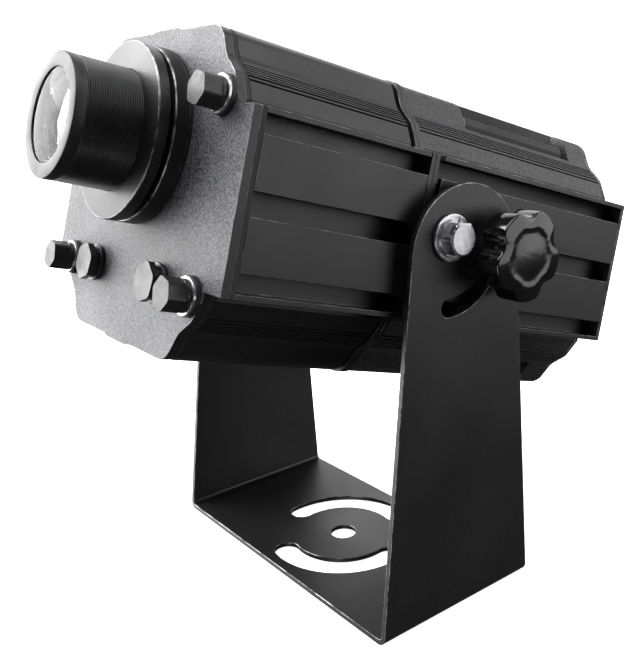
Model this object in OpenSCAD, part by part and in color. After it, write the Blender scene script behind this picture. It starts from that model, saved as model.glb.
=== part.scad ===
// Outdoor gobo projector: a sealed, finned head that tilts in a bent sheet steel yoke.
// Frame: X across the head, Y to the rear, Z up. The origin is the centre of the yoke's
// mounting hole, on its underside. The head is drawn level about its centre and then tilted
// about its pivot.

/* [Yoke] */
// Width of the yoke over both arms
yoke_w = 180; // [176:1:200]
// Thickness of the yoke's sheet steel
sheet_t = 2.5; // [2:0.1:3]
// Inside radius of the two bends
bend_r = 2; // [1:0.5:5]
// Depth of the yoke at its base, front to rear
yoke_d = 95; // [88:1:120]
// Height of the tilt pivot above the underside
pivot_h = 179.9; // [172:0.1:210]
// Radius of the rounded top of each arm
arm_top_r = 32.7; // [32:0.1:38]
// How far the rounded top sits behind the pivot
arm_top_back = 10.2; // [8:0.1:11]
// How far the rounded top's centre sits below the pivot
arm_top_drop = 10.3; // [8:0.1:11]
// Diameter of the mounting hole in the base
base_hole_d = 14; // [10:0.5:16]
// Radius of the middle of the base's arc slots
arc_slot_r = 34.75; // [32:0.25:36]
// Width of the base's arc slots
arc_slot_w = 13.5; // [8:0.5:14]
// Angle of the first arc slot's middle, from +X
arc_slot_turn = 133; // [90:1:150]
// Half of the angle between an arc slot's end centres
arc_slot_half = 52.5; // [40:0.5:60]
/* [Tilt] */
// How far the lens points up from level, as drawn
rest_tilt = 17; // [0:1:90]
// How far the pivot sits above the head's centre
pivot_rise = 1.8; // [0:0.1:3]
// How far the pivot sits ahead of the head's centre
pivot_ahead = 0.5; // [0:0.1:1]
// Radius at which the tilt slot runs round the pivot
tilt_slot_r = 31.3; // [30:0.1:32]
// Width of the tilt slot
tilt_slot_w = 8.6; // [8.6:0.1:9.2]
/* [Head] */
// Height of the head
head_h = 137; // [132:1:150]
// Width of the head over its side heat sinks
head_w = 163.2; // [160:0.2:168]
// Front face of the front plate, ahead of the head's centre
head_front = 104; // [100:1:120]
// Rear face of the rear plate, behind the head's centre
head_rear = 132.6; // [128:0.1:150]
// Thickness of the front plate
front_plate_t = 4; // [3:0.5:5]
// Thickness of the rear plate
rear_plate_t = 2; // [1.5:0.5:4]
// Thickness of the front gasket
front_gasket_t = 2.3; // [1.5:0.1:3]
// Thickness of the rear gasket
rear_gasket_t = 0.6; // [0.4:0.1:1.5]
// Wall of the two housings
wall_t = 3; // [2.5:0.1:4]
/* [Corner curve] */
// Half width of the flat top
flat_hw = 41; // [38:0.5:44]
// Radius of the round shoulder beside the flat top
crown_r = 11; // [9:0.5:12]
// Steep slope, in degrees below level
steep_deg = 60; // [56:1:64]
// Length of the first steep run
steep_run = 6; // [5:0.5:7]
// Radius of the hollow under the shoulder
hollow_r = 12; // [10:0.5:14]
// Gentle slope of the grooved band, in degrees below level
gentle_deg = 38; // [34:1:42]
// Length of the straight part of the grooved band
band_run = 7.6; // [7:0.1:9]
// Radius of the lower brow
brow_r = 6; // [5:0.5:7]
// Length of the last steep run
last_run = 10; // [9:0.5:11]
// How far the centre of the front plate's top edge stands up
crest_h = 1; // [0.5:0.5:2]
/* [Grooved bands] */
// Number of grooves in each band
groove_n = 6; // [3:1:7]
// Distance between grooves
groove_pitch = 1.8; // [1.6:0.1:2]
// Width of a groove
groove_w = 0.9; // [0.6:0.1:1.1]
// Depth of a groove
groove_depth = 0.9; // [0.5:0.1:1.2]
/* [Middle seam] */
// Front face of the seam's flanges, ahead of the head's centre
seam_front = 11.3; // [11:0.1:13]
// Thickness of each seam flange
seam_flange_t = 2; // [1.5:0.1:2.5]
// Thickness of the seam gasket
seam_gasket_t = 0.8; // [0.5:0.1:1]
// How far the seam flanges stand out past the housings
seam_proud = 0.6; // [0.2:0.1:1]
// Length of the narrow neck ahead of the seam
neck_len = 2.2; // [1.5:0.1:4]
// How deep the neck is set in
neck_depth = 2; // [1:0.1:2.5]
/* [Side heat sinks] */
// Height of the side heat sinks
sink_h = 73; // [70:1:76]
// Depth of the recesses between their slats
sink_recess = 8.6; // [7:0.1:9.5]
// Thickness of the top and bottom lips
lip_t = 2.1; // [1.5:0.1:3]
// Height of each slat's face
slat_h = 21.5; // [20:0.5:22]
// Width of the middle channel between the slats
channel_w = 9.8; // [9.4:0.1:11]
// Thickness of a slat's face
slat_face_t = 2.5; // [2:0.1:3]
// Thickness of a slat's webs
slat_web_t = 2; // [1.5:0.1:2.5]
// How far a slat's face overhangs its webs
slat_overhang = 2.5; // [2:0.1:3]
// Gap between the seam and the rear heat sinks' slats
rear_sink_gap = 3.1; // [1:0.1:4]
// Gap between the front heat sinks and the seam
front_sink_gap = 0.6; // [0.3:0.1:2]
/* [Fin pockets] */
// Front end of the fin pockets, behind the head's centre
pocket_front = 32; // [28:1:40]
// Rear end of the fin pockets, behind the head's centre
pocket_rear = 113.5; // [105:0.5:118]
// Depth of the fin pockets in the top and the underside
pocket_depth = 13.5; // [12:0.5:15]
// Gap between the last fin end and the pocket's rear wall
fin_end_gap = 5; // [2:0.5:8]
// Number of fins in each pocket
fin_n = 13; // [7:2:15]
// Thickness of a fin
fin_t = 2; // [1.5:0.1:2.5]
/* [Lens] */
// Height of the lens axis above the head's centre
lens_z = 21.8; // [20:0.1:23]
// Front rim of the lens barrel, ahead of the head's centre
barrel_front = 149.5; // [145:0.5:160]
// Outside diameter of the barrel's thread
barrel_d = 53; // [50:0.5:54]
// Diameter of the clear opening in the barrel's rim
barrel_opening = 40.2; // [38:0.2:42]
// Length of the smooth band behind the rim
rim_len = 5; // [3:0.5:8]
// Pitch of the focusing thread
thread_pitch = 1; // [0.8:0.05:1.5]
// Depth of the focusing thread
thread_depth = 0.6; // [0.4:0.05:0.7]
// How far the lens flange stands out past its sleeve
flange_rim = 7.8; // [7:0.1:9]
// Thickness of the lens flange
flange_t = 7.4; // [5:0.1:9]
// Thickness of the seal under the lens flange
flange_seal_t = 1.2; // [0.8:0.1:2]
// Width of the groove between the lens flange and the lock ring
lock_groove = 2.4; // [1.5:0.1:4]
// Thickness of the lock ring
lock_ring_t = 5; // [4:0.5:8]
// Outside diameter of the flange's sleeve
sleeve_d = 62; // [60:0.5:64]
/* [Front bolts and vents] */
// Distance of the front bolts from the head's centre plane
bolt_x = 60; // [58:0.5:61]
// How far the front bolts sit below the top and above the underside
bolt_drop = 29; // [28:0.5:31]
// Size of the front bolts' thread
bolt_d = 8; // [6:1:8]
// Width across flats of the front bolts' heads
bolt_af = 12.6; // [11.6:0.1:13.4]
// Height of the front bolts' heads
bolt_head_h = 9.9; // [6:0.1:11]
// Thickness of their washers
bolt_washer_t = 1.5; // [1:0.1:2]
// Thickness of their rubber seats
bolt_seat_t = 2; // [1:0.1:3]
// Distance of the vents from the head's centre plane
vent_x = 32; // [28:0.5:36]
// Height of the vents below the head's centre
vent_drop = 38.5; // [37:0.5:42]
// Width across flats of the vents
vent_af = 15.5; // [14:0.5:16.5]
/* [Pivot and knobs] */
// Size of the pivot bolts' thread
pivot_d = 10; // [8:1:10]
// Width across flats of the pivot bolts' heads
pivot_af = 14; // [13:0.5:17]
// Diameter of the pivot washers
pivot_washer_d = 21; // [19:0.5:24]
// Size of the knobs' studs
stud_d = 8; // [6:1:8]
// Diameter of a knob over its lobes
knob_d = 40; // [34:1:46]
// Number of lobes on a knob
knob_lobes = 5; // [5:1:7]
// Thickness of a knob's star
knob_t = 13; // [10:0.5:16]
// Clear gap between parts that turn against each other
run_gap = 0.3; // [0.2:0.05:0.4]
// Radial clearance of a pin, thread or shaft in its hole
fit_gap = 0.05; // [0.03:0.01:0.08]
/* [Cable gland] */
// Clear bore for the cable
gland_bore_d = 8; // [6:0.5:9]
// Size of the gland's thread
gland_d = 16; // [14:1:18]
// Height of the gland below the head's centre
gland_drop = 30; // [26:1:34]
/* [Hidden] */
$fn = 72;

// Colours, as the photograph shows them
coat = [0.13, 0.13, 0.14];
steel = [0.75, 0.75, 0.76];
rubber = [0.05, 0.05, 0.05];
gloss_black = [0.06, 0.06, 0.07];
clear_glass = [0.8, 0.88, 0.92, 0.5];
bare_alloy = [0.68, 0.69, 0.7];
copper = [0.72, 0.42, 0.26];
cut_past = 1;
// Arcs that meet a straight edge run this far past it, so that they meet cleanly
meld = 0.02;

// Corner curve: points and arc centres of one quadrant, in the X-Z plane
half_h = head_h / 2;
half_w = head_w / 2;
steep_n = [sin(steep_deg), cos(steep_deg)];
steep_dir = [cos(steep_deg), -sin(steep_deg)];
gentle_n = [sin(gentle_deg), cos(gentle_deg)];
gentle_dir = [cos(gentle_deg), -sin(gentle_deg)];
crown_c = [flat_hw, half_h - crown_r];
crown_end = crown_c + crown_r * steep_n;
hollow_start = crown_end + steep_run * steep_dir;
hollow_c = hollow_start + hollow_r * steep_n;
band_start = hollow_c - hollow_r * gentle_n;
band_end = band_start + band_run * gentle_dir;
brow_c = band_end - brow_r * gentle_n;
brow_end = brow_c + brow_r * steep_n;
core_end = brow_end + last_run * steep_dir;
core_hw = core_end[0];

// Stations along the head, front negative
plate_front = -head_front;
plate_back = plate_front + front_plate_t;
body_front = plate_back + front_gasket_t;
seam_back = -seam_front + 2 * seam_flange_t + seam_gasket_t;
body_rear = head_rear - rear_plate_t - rear_gasket_t;
neck_front = -seam_front - neck_len;
front_sink_end = -seam_front - front_sink_gap;
rear_slat_start = seam_back + rear_sink_gap;
bolt_z = half_h - bolt_drop;
boss_r = bolt_d / 2 + wall_t + 0.5;
sink_floor = half_w - sink_recess;
boss_seat = sink_floor - 0.3;
tie_d = 5;
tie_end = neck_front - 20;
tie_head_h = 4;
pocket_hw = 55.2;
pocket_floor = half_h - pocket_depth;
fin_foot = 1.5;

// Stations of the lens, measured along its axis
flange_d = sleeve_d + 2 * flange_rim;
flange_back = plate_front - flange_seal_t;
flange_front = flange_back - flange_t;
lock_back = flange_front - lock_groove;
lock_front = lock_back - lock_ring_t;
rim_front = -barrel_front;
thread_front = rim_front + rim_len;
barrel_back = body_front + 6;
barrel_r = barrel_d / 2;
barrel_bore_r = barrel_opening / 2 + 2;
sleeve_bore_r = barrel_r + 2 * fit_gap;
sleeve_back = body_front + 14;
flange_nut_t = 6;
flange_nut_d = sleeve_d + 12;
lens_edge_front = rim_front + 3.5;
lens_edge_t = 4;
lens_dome_r = 60;
spacer_len = 24;
rear_lens_t = 6;
retainer_t = 3;
lens_r = barrel_bore_r - fit_gap;

// Stations of the light engine
tube_r = sleeve_d / 2 + 3;
tube_front = sleeve_back - 8;
tube_bore_r = sleeve_d / 2 + fit_gap;
spreader_front = neck_front - 4;
spreader_t = 10;
gobo_front = sleeve_back + 20;
condenser_start = gobo_front + 12;
pipe_d = 6;
pipe_z = pocket_floor - wall_t - pipe_d / 2 - 0.1;
tray_t = 2;
tray_top = -(pocket_floor - wall_t) + tray_t;
spreader_w = 92;
tray_w = 84;
case_w = 70;
case_h = 28;
block_w = 30;
block_h = 11;

// Stations across the yoke
bend_out = bend_r + sheet_t;
arm_out = yoke_w / 2;
arm_in = arm_out - sheet_t;
arm_top_z = pivot_h - arm_top_drop;
washer_t = 1.8;
spring_washer_t = 1.6;
pivot_head_h = 5;
pivot_boss_d = 19;
pivot_nut_af = 16;
pivot_nut_h = 8;
stud_washer_t = 1.6;
stud_washer_d = 18;
t_nut_len = 16;
t_nut_in = sink_floor + 0.2;
knob_hub_t = 4;
knob_seat = arm_out + 2 * run_gap + stud_washer_t;
knob_back = knob_seat + knob_hub_t;
knob_front = knob_back + knob_t;
knob_phase = -13;
// The pivot and the studs in the head's own frame
pivot_y = -pivot_ahead;
pivot_z = pivot_rise;
stud_y = sqrt(tilt_slot_r * tilt_slot_r - pivot_rise * pivot_rise) - pivot_ahead;
stud_lead = atan2(pivot_rise, stud_y + pivot_ahead);

// Helpers: the head's own frame, extrusions along Y and X, and both sides at once
module in_head() {
    translate([0, 0, pivot_h]) rotate([-rest_tilt, 0, 0])
        translate([0, pivot_ahead, -pivot_rise]) children();
}
module along_y(y0, y1) {
    translate([0, y1, 0]) rotate([90, 0, 0]) linear_extrude(y1 - y0) children();
}
module along_x(x0, x1) {
    translate([x0, 0, 0]) rotate([90, 0, 90]) linear_extrude(x1 - x0) children();
}
module rod_y(x, z, y0, y1, r) {
    translate([x, y1, z]) rotate([90, 0, 0]) cylinder(h = y1 - y0, r = r);
}
module rod_x(y, z, x0, x1, r) {
    translate([x0, y, z]) rotate([0, 90, 0]) cylinder(h = x1 - x0, r = r);
}
module both_sides() {
    children();
    mirror([1, 0, 0]) children();
}
module four_corners(x, z) {
    for (sx = [-1, 1], sz = [-1, 1]) translate([sx * x, 0, sz * z]) children();
}
// A solid of revolution about the lens axis, from [radius, y] points
module lens_lathe(points) {
    translate([0, 0, lens_z]) rotate([90, 0, 0]) rotate_extrude()
        polygon([for (p = points) [p[0], -p[1]]]);
}
module lens_tube(y0, y1, bore_r, out_r) {
    lens_lathe([[bore_r, y0], [out_r, y0], [out_r, y1], [bore_r, y1]]);
}
// A hexagonal prism along Y with its outer corners chamfered at the y0 end
module hex_y(x, z, y0, y1, af, turn) {
    corner_r = af / sqrt(3);
    translate([x, y1, z]) rotate([90, 0, 0]) intersection() {
        rotate(turn) cylinder(h = y1 - y0, r = corner_r, $fn = 6);
        union() {
            cylinder(h = y1 - y0 - corner_r * 0.12, r = corner_r * 1.05);
            translate([0, 0, y1 - y0 - corner_r * 0.12])
                cylinder(h = corner_r * 0.12, r1 = corner_r * 1.05, r2 = af / 2 * 0.96);
        }
    }
}

// One quadrant of the core outline, set in by a distance; arcs keep their centres
module core_quadrant(inset) {
    edge_x = core_hw - inset;
    brow_in = brow_c + (brow_r - inset) * steep_n;
    run_left = (edge_x - brow_in[0]) / steep_dir[0];
    difference() {
        union() {
            polygon([[0, 0], [0, half_h - inset], [flat_hw, half_h - inset],
                crown_c + (crown_r - inset) * steep_n,
                hollow_start - inset * steep_n, band_start - inset * gentle_n,
                band_end - inset * gentle_n, brow_in,
                brow_in + run_left * steep_dir, [edge_x, 0]]);
            translate(crown_c) circle(r = crown_r - inset + meld);
            translate(brow_c) circle(r = brow_r - inset + meld);
        }
        translate(hollow_c) circle(r = hollow_r + inset + meld);
    }
}
module core_outline(inset = 0) {
    for (sx = [0, 1], sz = [0, 1]) mirror([sx, 0]) mirror([0, sz]) core_quadrant(inset);
}
// A slab with the full outline: the core and the ears that cover the side heat sinks
module slab(y0, y1, inset = 0, ear_inset = 0) {
    union() {
        along_y(y0, y1) core_outline(inset);
        along_y(y0, y1) square([head_w - 2 * ear_inset, sink_h - 2 * ear_inset], center = true);
    }
}
module bolt_holes(y0, y1, r) {
    four_corners(bolt_x, bolt_z) rod_y(0, 0, y0 - cut_past, y1 + cut_past, r);
}
module boss_circles(r) {
    for (sx = [-1, 1], sz = [-1, 1]) translate([sx * bolt_x, sz * bolt_z]) circle(r = r);
}
// The hollow inside a housing: the core set in by the wall, less the corner screw bosses
module cavity_outline() {
    difference() {
        core_outline(wall_t);
        boss_circles(boss_r);
    }
}
// The grooves of one quadrant's band, cut square to the chord of the band
module band_grooves() {
    chord = brow_end - band_start;
    along = chord / norm(chord);
    out = [-along[1], along[0]];
    mid = (band_start + brow_end) / 2 + along * 1.4;
    for (i = [0 : groove_n - 1]) {
        p = mid + along * groove_pitch * (i - (groove_n - 1) / 2);
        translate(p - out * groove_depth)
            rotate(atan2(along[1], along[0])) translate([-groove_w / 2, 0])
            square([groove_w, groove_depth + 3]);
    }
}
module housing_outline() {
    difference() {
        core_outline();
        for (sx = [0, 1], sz = [0, 1]) mirror([sx, 0]) mirror([0, sz]) band_grooves();
    }
}
// A slot that follows an arc, between the centres of its two round ends
module arc_slot(r, w, a0, a1) {
    reach = 2 * r;
    intersection() {
        difference() {
            circle(r = r + w / 2);
            circle(r = r - w / 2);
        }
        polygon(concat([[0, 0]], [for (i = [0 : 4]) let (a = a0 + (a1 - a0) * i / 4)
            [reach * cos(a), reach * sin(a)]]));
    }
    for (a = [a0, a1]) translate([r * cos(a), r * sin(a)]) circle(d = w + 2 * meld);
}

// Yoke
// The point where a line from p touches a circle, on the side given by turn
function tangent(p, c, r, turn) =
    let (v = p - c, a = atan2(v[1], v[0]) + turn * acos(r / norm(v)))
    c + r * [cos(a), sin(a)];
// One bend, a quarter of a ring
module bend_outline() {
    translate([arm_out - bend_out, bend_out]) intersection() {
        difference() {
            circle(r = bend_out);
            circle(r = bend_r);
        }
        translate([0, -2 * bend_out]) square(2 * bend_out);
    }
}
// The sheet of one arm with its bend, before its outline is cut
module arm_sheet() {
    union() {
        along_y(-yoke_d / 2, yoke_d / 2) bend_outline();
        along_y(-yoke_d / 2, yoke_d / 2) translate([arm_in, bend_out])
            square([sheet_t, pivot_h + arm_top_r]);
    }
}
module arm_outline() {
    top_c = [arm_top_back, arm_top_z];
    front_p = [-yoke_d / 2, 0];
    rear_p = [yoke_d / 2, 0];
    polygon([front_p, rear_p, tangent(rear_p, top_c, arm_top_r - meld, 1), top_c,
        tangent(front_p, top_c, arm_top_r - meld, -1)]);
    translate(top_c) circle(r = arm_top_r);
}
// The yoke is one bent sheet. It is drawn as its base and its two arms, which meet face to face
// where the bends start.
module yoke_base() {
    color(coat) difference() {
        intersection() {
            translate([-arm_out + bend_out, -yoke_d / 2, 0])
                cube([2 * (arm_out - bend_out), yoke_d, sheet_t]);
            along_x(-arm_out, arm_out) arm_outline();
        }
        translate([0, 0, -cut_past]) {
            cylinder(h = sheet_t + 2 * cut_past, d = base_hole_d);
            for (a = [arc_slot_turn, arc_slot_turn + 180])
                linear_extrude(sheet_t + 2 * cut_past)
                    arc_slot(arc_slot_r, arc_slot_w, a - arc_slot_half, a + arc_slot_half);
        }
    }
}
module yoke_arm() {
    difference() {
        intersection() {
            arm_sheet();
            along_x(0, arm_out) arm_outline();
        }
        rod_x(0, pivot_h, 0, arm_out + cut_past, pivot_d / 2 + fit_gap);
        translate([0, 0, pivot_h]) along_x(0, arm_out + cut_past)
            arc_slot(tilt_slot_r, tilt_slot_w, -90 - stud_lead, -stud_lead);
    }
}
module yoke_arm_right() { color(coat) yoke_arm(); }
module yoke_arm_left() { color(coat) mirror([1, 0, 0]) yoke_arm(); }

// Plates, gaskets and housings
module front_plate() {
    color(coat) in_head() difference() {
        union() {
            slab(plate_front, plate_back);
            along_y(plate_front, plate_back) for (s = [0, 1]) mirror([0, s])
                polygon([[-14, half_h - 4], [-14, half_h], [-9, half_h + crest_h],
                    [9, half_h + crest_h], [14, half_h], [14, half_h - 4]]);
        }
        rod_y(0, lens_z, plate_front - cut_past, plate_back + cut_past, sleeve_d / 2 + fit_gap);
        bolt_holes(plate_front, plate_back, bolt_d / 2 + fit_gap);
        for (s = [-1, 1])
            rod_y(s * vent_x, -vent_drop, plate_front - cut_past, plate_back + cut_past, 4);
    }
}
module front_gasket() {
    color(rubber) in_head() difference() {
        slab(plate_back, body_front, 0.2, 0.2);
        along_y(plate_back - cut_past, body_front + cut_past) cavity_outline();
        bolt_holes(plate_back, body_front, bolt_d / 2 + fit_gap);
    }
}
module front_housing() {
    color(coat) in_head() difference() {
        union() {
            along_y(body_front, neck_front) housing_outline();
            along_y(neck_front, -seam_front) core_outline(neck_depth);
        }
        along_y(body_front - cut_past, -seam_front + cut_past) cavity_outline();
        bolt_holes(body_front, body_front + 21, bolt_d / 2 + fit_gap);
        bolt_holes(tie_end - 1, -seam_front, tie_d / 2 + fit_gap);
        sink_screw_holes(front_screw_y);
    }
}
module seam_plate(y0, y1) {
    in_head() difference() {
        slab(y0, y1, -seam_proud, 0);
        along_y(y0 - cut_past, y1 + cut_past) cavity_outline();
        bolt_holes(y0, y1, tie_d / 2 + fit_gap);
        both_sides() rod_x(pivot_y, pivot_z, core_hw, half_w + cut_past,
            pivot_boss_d / 2 + 0.5);
    }
}
module seam_flange_front() {
    color(coat) seam_plate(-seam_front, -seam_front + seam_flange_t);
}
module seam_gasket() {
    color(rubber) seam_plate(-seam_front + seam_flange_t, seam_back - seam_flange_t);
}
module seam_flange_rear() {
    color(coat) seam_plate(seam_back - seam_flange_t, seam_back);
}
module pocket_outline(grow) {
    translate([-pocket_hw - grow, pocket_floor - grow])
        square([2 * (pocket_hw + grow), half_h]);
}
module rear_housing() {
    color(coat) in_head() difference() {
        union() {
            difference() {
                along_y(seam_back, body_rear) housing_outline();
                along_y(seam_back - cut_past, body_rear + cut_past) cavity_outline();
            }
            intersection() {
                along_y(pocket_front - wall_t, pocket_rear + wall_t) core_outline(wall_t / 2);
                along_y(pocket_front - wall_t, pocket_rear + wall_t)
                    for (s = [0, 1]) mirror([0, s]) pocket_outline(wall_t);
            }
        }
        along_y(pocket_front, pocket_rear) for (s = [0, 1]) mirror([0, s]) pocket_outline(0);
        bolt_holes(seam_back, body_rear, tie_d / 2 + fit_gap);
        both_sides() rod_x(pivot_y, pivot_z, 0, half_w, pivot_d / 2 + fit_gap);
        sink_screw_holes(rear_screw_y);
    }
}
// A block of upright fins on a thin foot, trimmed to the head's outline
module fin_block() {
    pitch = (2 * (pocket_hw - 2.2) - fin_t) / (fin_n - 1);
    fin_y0 = pocket_front + 1;
    fin_y1 = pocket_rear - fin_end_gap;
    intersection() {
        slab(fin_y0, fin_y1, 0.3, 0);
        union() {
            along_y(fin_y0, fin_y1) for (i = [0 : fin_n - 1])
                translate([pitch * (i - (fin_n - 1) / 2) - fin_t / 2, pocket_floor])
                    square([fin_t, half_h - pocket_floor]);
            along_y(fin_y0, fin_y1) translate([-pocket_hw + 2.2, pocket_floor])
                square([2 * (pocket_hw - 2.2), fin_foot]);
        }
    }
}
module top_fins() {
    color(coat) in_head() fin_block();
}
module bottom_fins() {
    color(coat) in_head() mirror([0, 0, 1]) fin_block();
}
module rear_gasket() {
    y1 = body_rear + rear_gasket_t;
    color(rubber) in_head() difference() {
        slab(body_rear, y1, 0.2, 0.2);
        along_y(body_rear - cut_past, y1 + cut_past) cavity_outline();
        bolt_holes(body_rear, y1, tie_d / 2 + fit_gap);
    }
}
module rear_plate() {
    color(coat) in_head() difference() {
        slab(head_rear - rear_plate_t, head_rear);
        bolt_holes(head_rear - rear_plate_t, head_rear, tie_d / 2 + fit_gap);
        rod_y(0, -gland_drop, body_rear, head_rear + cut_past, gland_d / 2 + fit_gap);
    }
}

// Side heat sinks, drawn on the right and mirrored for the left
slat_in = channel_w / 2;
slat_out = slat_in + slat_h;
front_screw_y = [body_front + 12, neck_front - 12];
rear_screw_y = [pocket_front - 12, pocket_rear + 4];
screw_below_bolt = 13.5;
sink_screw_z = [-(bolt_z - screw_below_bolt), bolt_z - screw_below_bolt];
sink_screw_d = 4;
module slat(z0, z1) {
    translate([half_w - slat_face_t, z0]) square([slat_face_t, z1 - z0]);
    for (z = [z0 + slat_overhang, z1 - slat_overhang - slat_web_t])
        translate([sink_floor - 1, z]) square([half_w - sink_floor, slat_web_t]);
}
module sink_base() {
    translate([core_hw, -sink_h / 2]) square([sink_floor - core_hw, sink_h]);
}
module sink_outline() {
    sink_base();
    for (s = [0, 1]) mirror([0, s]) {
        translate([core_hw, sink_h / 2 - lip_t]) square([half_w - core_hw, lip_t]);
        slat(slat_in, slat_out);
    }
}
module sink_screw_holes(ys) {
    both_sides() for (y = ys, z = sink_screw_z)
        rod_x(y, z, core_hw - 2 * wall_t, sink_floor - 1, sink_screw_d / 2 + fit_gap);
}
module front_sink() {
    difference() {
        along_y(body_front, front_sink_end) sink_outline();
        sink_screw_holes(front_screw_y);
    }
}
module rear_sink() {
    difference() {
        union() {
            along_y(rear_slat_start, body_rear) sink_outline();
            along_y(seam_back, rear_slat_start + cut_past) sink_base();
        }
        rod_x(pivot_y, pivot_z, boss_seat, half_w + cut_past, pivot_boss_d / 2 + 0.5);
        rod_x(pivot_y, pivot_z, core_hw - cut_past, half_w, pivot_d / 2 + fit_gap);
        sink_screw_holes(rear_screw_y);
    }
}
module front_sink_right() { color(coat) in_head() front_sink(); }
module front_sink_left() { color(coat) in_head() mirror([1, 0, 0]) front_sink(); }
module rear_sink_right() { color(coat) in_head() rear_sink(); }
module rear_sink_left() { color(coat) in_head() mirror([1, 0, 0]) rear_sink(); }
module sink_screws() {
    color(steel) in_head() both_sides()
        for (y = concat(front_screw_y, rear_screw_y), z = sink_screw_z) {
            rod_x(y, z, core_hw - wall_t, sink_floor - 1.5, sink_screw_d / 2);
            rod_x(y, z, core_hw - wall_t - 2.4, core_hw - wall_t, sink_screw_d * 0.85);
        }
}

// Screws that hold the head together
module tie_rods() {
    color(steel) in_head() four_corners(bolt_x, bolt_z) {
        rod_y(0, 0, tie_end, head_rear, tie_d / 2);
        difference() {
            rod_y(0, 0, head_rear, head_rear + tie_head_h, tie_d * 0.85);
            translate([0, head_rear + tie_head_h + 0.01, 0]) rotate([90, 0, 0])
                cylinder(h = 2.5, r = 2.3, $fn = 6);
        }
    }
}
bolt_seat_front = plate_front - bolt_seat_t;
bolt_washer_front = bolt_seat_front - bolt_washer_t;
bolt_collar = 2.2;
module front_bolts() {
    color(steel) in_head() four_corners(bolt_x, bolt_z) {
        rod_y(0, 0, bolt_washer_front, body_front + 20, bolt_d / 2);
        rod_y(0, 0, bolt_washer_front - bolt_collar, bolt_washer_front, bolt_af * 0.54);
        hex_y(0, 0, bolt_washer_front - bolt_head_h, bolt_washer_front - bolt_collar,
            bolt_af, -15);
    }
}
module front_bolt_washers() {
    color(steel) in_head() four_corners(bolt_x, bolt_z) difference() {
        rod_y(0, 0, bolt_washer_front, bolt_seat_front, bolt_af * 0.63);
        rod_y(0, 0, bolt_washer_front - cut_past, plate_front, bolt_d / 2 + fit_gap);
    }
}
module front_bolt_seats() {
    color(rubber) in_head() four_corners(bolt_x, bolt_z) difference() {
        rod_y(0, 0, bolt_seat_front, plate_front, bolt_af * 0.66);
        rod_y(0, 0, bolt_seat_front - cut_past, plate_front + cut_past, bolt_d / 2 + fit_gap);
    }
}
vent_seal_t = 1.4;
vent_ring_t = 1.1;
vent_hex_h = 5;
module vent_plugs() {
    seal_front = plate_front - vent_seal_t;
    color(gloss_black) in_head() for (s = [-1, 1]) difference() {
        union() {
            rod_y(s * vent_x, -vent_drop, seal_front, plate_back + 4, 4 - fit_gap);
            rod_y(s * vent_x, -vent_drop, seal_front - vent_ring_t, seal_front, vent_af * 0.565);
            hex_y(s * vent_x, -vent_drop, seal_front - vent_ring_t - vent_hex_h,
                seal_front - vent_ring_t, vent_af, 10);
        }
        rod_y(s * vent_x, -vent_drop, plate_front, plate_back + 5, 2);
    }
}
module vent_seals() {
    color(rubber) in_head() for (s = [-1, 1]) difference() {
        rod_y(s * vent_x, -vent_drop, plate_front - vent_seal_t, plate_front, vent_af * 0.52);
        rod_y(s * vent_x, -vent_drop, plate_front - 2 * vent_seal_t, plate_front + cut_past, 4);
    }
}

// Lens: flange, lock ring, threaded barrel and the glass it carries
module lens_flange() {
    color(coat) in_head() lens_lathe([[sleeve_bore_r, flange_front],
        [flange_d / 2 - 0.5, flange_front], [flange_d / 2, flange_front + 0.5],
        [flange_d / 2, flange_back - 0.5], [flange_d / 2 - 0.5, flange_back],
        [sleeve_d / 2, flange_back], [sleeve_d / 2, sleeve_back],
        [sleeve_bore_r, sleeve_back]]);
}
module lens_flange_seal() {
    color(rubber) in_head()
        lens_tube(flange_back, plate_front, sleeve_d / 2 + fit_gap, flange_d / 2 - 0.8);
}
module lens_flange_nut() {
    color(bare_alloy) in_head()
        lens_tube(plate_back, plate_back + flange_nut_t, sleeve_d / 2 + fit_gap, flange_nut_d / 2);
}
module lock_ring() {
    neck_r = flange_d / 2 - 3.5;
    color(coat) in_head() lens_lathe([[sleeve_bore_r, lock_front],
        [flange_d / 2 - 0.4, lock_front], [flange_d / 2, lock_front + 0.4],
        [flange_d / 2, lock_back], [neck_r, lock_back],
        [neck_r, flange_front - run_gap], [sleeve_bore_r, flange_front - run_gap]]);
}
thread_n = floor((barrel_back - 2 - thread_front) / thread_pitch);
module focus_barrel() {
    root_r = barrel_r - thread_depth;
    lip_back = lens_edge_front - run_gap;
    ridges = [for (i = [0 : thread_n - 1]) let (y = thread_front + i * thread_pitch)
        each [[root_r, y], [root_r, y + 0.3 * thread_pitch],
            [barrel_r, y + 0.5 * thread_pitch], [barrel_r, y + 0.8 * thread_pitch]]];
    color(gloss_black) in_head() lens_lathe(concat(
        [[barrel_opening / 2, rim_front], [barrel_r - 0.4, rim_front],
            [barrel_r, rim_front + 0.4], [barrel_r, thread_front - 0.2]],
        ridges,
        [[root_r, thread_front + thread_n * thread_pitch], [root_r, barrel_back],
            [barrel_bore_r, barrel_back], [barrel_bore_r, lip_back],
            [barrel_opening / 2, lip_back]]));
}
lens_edge_back = lens_edge_front + lens_edge_t;
spacer_back = lens_edge_back + spacer_len;
rear_lens_back = spacer_back + rear_lens_t;
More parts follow.
